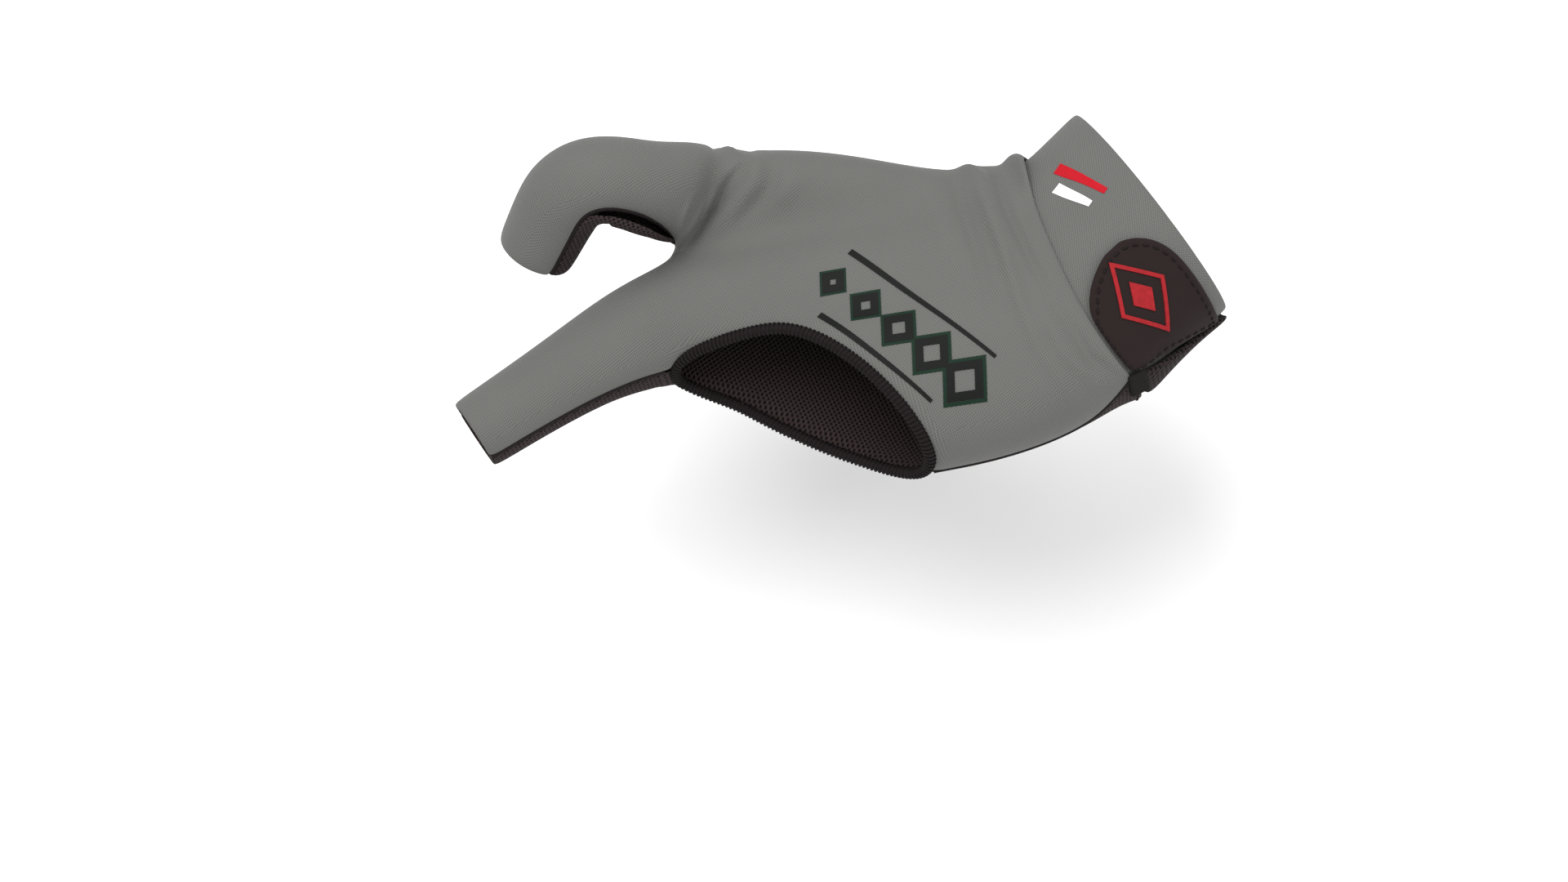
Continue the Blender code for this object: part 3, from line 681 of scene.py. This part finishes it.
def flat_shape(name, outline, place, normal, across, hollow=0.0):
    """A flat four-sided outline in millimetres, above place and faced along normal.

    Hollow is the width of the frame that it leaves, or 0 for a full shape.
    """
    bpy.ops.object.select_all(action="DESELECT")
    bpy.ops.mesh.primitive_plane_add(size=1)
    shape = bpy.context.object
    shape.name = shape.data.name = name
    for corner, (x, y) in zip((0, 1, 3, 2), outline):
        shape.data.vertices[corner].co = (x / 1000, y / 1000, 0)
    bpy.ops.object.mode_set(mode="EDIT")
    bpy.ops.mesh.select_mode(type="FACE")
    bpy.ops.mesh.select_all(action="SELECT")
    if hollow:
        bpy.ops.mesh.inset(thickness=hollow / 1000)
        bpy.ops.mesh.delete(type="FACE")
    bpy.ops.object.mode_set(mode="OBJECT")
    up = Vector(normal).normalized()
    aside = (Vector(across) - up * Vector(across).dot(up)).normalized()
    turn = Matrix((aside, up.cross(aside), up)).transposed().to_4x4()
    shape.matrix_world = Matrix.Translation(Vector(place) / 1000 + up * ART_ABOVE) @ turn
    return shape


def lay_on(shape, target, lift, thick, material):
    """Cuts a flat shape fine, lays it on a curved piece, and gives it a thickness."""
    pick_out(shape)
    bpy.ops.object.mode_set(mode="EDIT")
    bpy.ops.mesh.select_all(action="SELECT")
    bpy.ops.mesh.quads_convert_to_tris()
    for _ in range(6):
        bpy.ops.object.mode_set(mode="OBJECT")
        long = max(
            (shape.data.vertices[a].co - shape.data.vertices[b].co).length
            for a, b in (edge.vertices for edge in shape.data.edges)
        )
        bpy.ops.object.mode_set(mode="EDIT")
        if long < FINEST:
            break
        bpy.ops.mesh.select_all(action="SELECT")
        bpy.ops.mesh.subdivide()
    bpy.ops.object.mode_set(mode="OBJECT")
    wrap = shape.modifiers.new("wrap", "SHRINKWRAP")
    wrap.wrap_method = "PROJECT"
    wrap.use_project_z = True
    wrap.use_negative_direction = True
    wrap.use_positive_direction = False
    wrap.project_limit = 0.03
    wrap.target = target
    wrap.offset = lift / 1000
    bpy.ops.object.modifier_apply(modifier="wrap")
    body = shape.modifiers.new("body", "SOLIDIFY")
    body.thickness = thick / 1000
    body.offset = 0.0
    bpy.ops.object.modifier_apply(modifier="body")
    bpy.ops.object.transform_apply(location=True, rotation=True, scale=True)
    bpy.ops.object.shade_smooth_by_angle(angle=math.radians(50))
    shape.data.materials.append(material)
    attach(shape, "root")
    return shape


red_thread = plain_thread("red embroidery", (0.30, 0.014, 0.018))
tab_spot, tab_normal, tab_along = (-13.4, -29.5, 16.1), (0.17, -0.44, 0.88), (0.51, -0.8, -0.3)
lozenge = [(11, 0), (0, 7.4), (-11, 0), (0, -7.4)]
outer = flat_shape("emblem_outer", lozenge, tab_spot, tab_normal, tab_along, hollow=0.95)
lay_on(outer, tab, lift=0.15, thick=0.5, material=red_thread)
small = [(x * 0.42, y * 0.42) for x, y in lozenge]
inner = flat_shape("emblem_inner", small, tab_spot, tab_normal, tab_along)
lay_on(inner, tab, lift=0.15, thick=0.5, material=red_thread)

# Printed bars on the cuff, one red and one white. Rubbery ink, pressed on as a thin film that follows
# the cloth.


def print_ink(name, colour, roughness=0.6):
    """Rubbery printing ink, which lets a little of the knit through."""
    material = bpy.data.materials.new(name)
    material.use_nodes = True
    tree = material.node_tree
    shader = tree.nodes["Principled BSDF"]
    uneven = blend_colours(tree, noise(tree, 500.0), colour, tuple(c * 0.85 for c in colour))
    tree.links.new(uneven, shader.inputs["Base Color"])
    shader.inputs["Roughness"].default_value = roughness
    shader.inputs["Specular IOR Level"].default_value = 0.12
    bump = tree.nodes.new("ShaderNodeBump")
    bump.inputs["Strength"].default_value = 0.3
    bump.inputs["Distance"].default_value = 0.0001
    tree.links.new(noise(tree, 2500.0), bump.inputs["Height"])
    tree.links.new(bump.outputs[0], shader.inputs["Normal"])
    return material


def bar(half_long, half_wide, taper=0.55):
    """Outline of a bar that narrows to one end."""
    narrow = half_wide * taper
    return [(half_long, -narrow), (half_long, narrow), (-half_long, half_wide), (-half_long, -half_wide)]


cuff_along = (0.62, -0.75, 0.1)
for name, colour, place, half_long in (
    ("cuff_bar_red", (0.46, 0.006, 0.015), (-18.4, 3.4, 18.2), 7.0),
    ("cuff_bar_white", (0.85, 0.85, 0.85), (-21.6, -0.2, 18.2), 5.0),
):
    shape = flat_shape(name, bar(half_long, 1.55), place, (-0.26, 0.15, 0.95), cuff_along)
    ink = print_ink(name + " ink", colour)
    lay_on(shape, cuff, lift=0.08, thick=0.16, material=ink)

# Printed row of lozenges between two tapered bars on the back. Near-black ink over a dark green
# film, which shows as a thin edge.
black_ink = print_ink("near black ink", (0.006, 0.007, 0.006))
green_ink = print_ink("dark green ink", (0.006, 0.022, 0.012))
row_start, row_end = np.array((-85.5, 0.5, 16)), np.array((-55.0, -44.0, 14))
row_along = tuple(row_end - row_start)
for i, share in enumerate((0.13, 0.315, 0.5, 0.685, 0.87)):
    place = tuple(row_start + (row_end - row_start) * share)
    size = 0.62 + 0.1 * i
    for kind, scale, lift, ink, hollow in (
        ("edge", 1.2, 0.09, green_ink, 0.8),
        ("lozenge", 1.0, 0.15, black_ink, 1.9),
    ):
        corners = ((5.6, 0), (0, 6.2), (-5.6, 0), (0, -6.2))
        outline = [(x * size * scale, y * size * scale) for x, y in corners]
        shape = flat_shape(f"print_{kind}_{i}", outline, place, (0, 0, 1), row_along, hollow=hollow)
        lay_on(shape, back, lift, thick=0.12, material=ink)
side = np.cross((0, 0, 1), row_along)
side = side / np.linalg.norm(side)
for i, off in enumerate((8.6, -8.4)):
    place = tuple((row_start + row_end) / 2 + side * off)
    shape = flat_shape(f"print_bar_{i}", bar(22 - 5 * i, 0.8), place, (0, 0, 1), row_along)
    lay_on(shape, back, lift=0.15, thick=0.12, material=black_ink)

# A plain pale floor under the glove, which is held up at its wrist, soft light, and the camera.
bpy.ops.mesh.primitive_plane_add(size=6, location=(0, 0, -0.10))
floor = bpy.context.object
floor.name = "floor"
paper = bpy.data.materials.new("pale paper")
paper.use_nodes = True
shader = paper.node_tree.nodes["Principled BSDF"]
shader.inputs["Base Color"].default_value = (0.92, 0.92, 0.92, 1)
shader.inputs["Roughness"].default_value = 0.9
floor.data.materials.append(paper)

world = bpy.data.worlds.new("studio")
world.use_nodes = True
world.node_tree.nodes["Background"].inputs["Color"].default_value = (1, 1, 1, 1)
world.node_tree.nodes["Background"].inputs["Strength"].default_value = 0.82
bpy.context.scene.world = world


def softbox(name, place, aim, size, power):
    light = bpy.data.lights.new(name, "AREA")
    light.shape = "DISK"
    light.size = size
    light.energy = power
    lamp = bpy.data.objects.new(name, light)
    bpy.context.scene.collection.objects.link(lamp)
    lamp.location = place
    lamp.rotation_euler = (Vector(aim) - Vector(place)).to_track_quat("-Z", "Y").to_euler()


softbox("overhead", (-0.35, 0.20, 0.95), (-0.08, 0, 0), 0.8, 8)
softbox("fill", (0.45, -0.55, 0.6), (-0.08, 0, 0), 0.9, 3)

camera = bpy.data.objects.new("camera", bpy.data.cameras.new("camera"))
bpy.context.scene.collection.objects.link(camera)
camera.data.sensor_width = 36
camera.data.lens = 71.06
camera.data.clip_start = 0.05
azimuth, elevation = math.radians(-15), math.radians(65)
right = Vector((math.cos(azimuth), math.sin(azimuth), 0))
level = math.cos(elevation)
behind = Vector((math.sin(azimuth) * level, -math.cos(azimuth) * level, math.sin(elevation)))
turn = Matrix((right, behind.cross(right), behind)).transposed().to_4x4()
camera.matrix_world = Matrix.Translation((-0.181, -0.332, 0.656)) @ turn
bpy.context.scene.camera = camera
bpy.context.scene.view_settings.view_transform = "Standard"
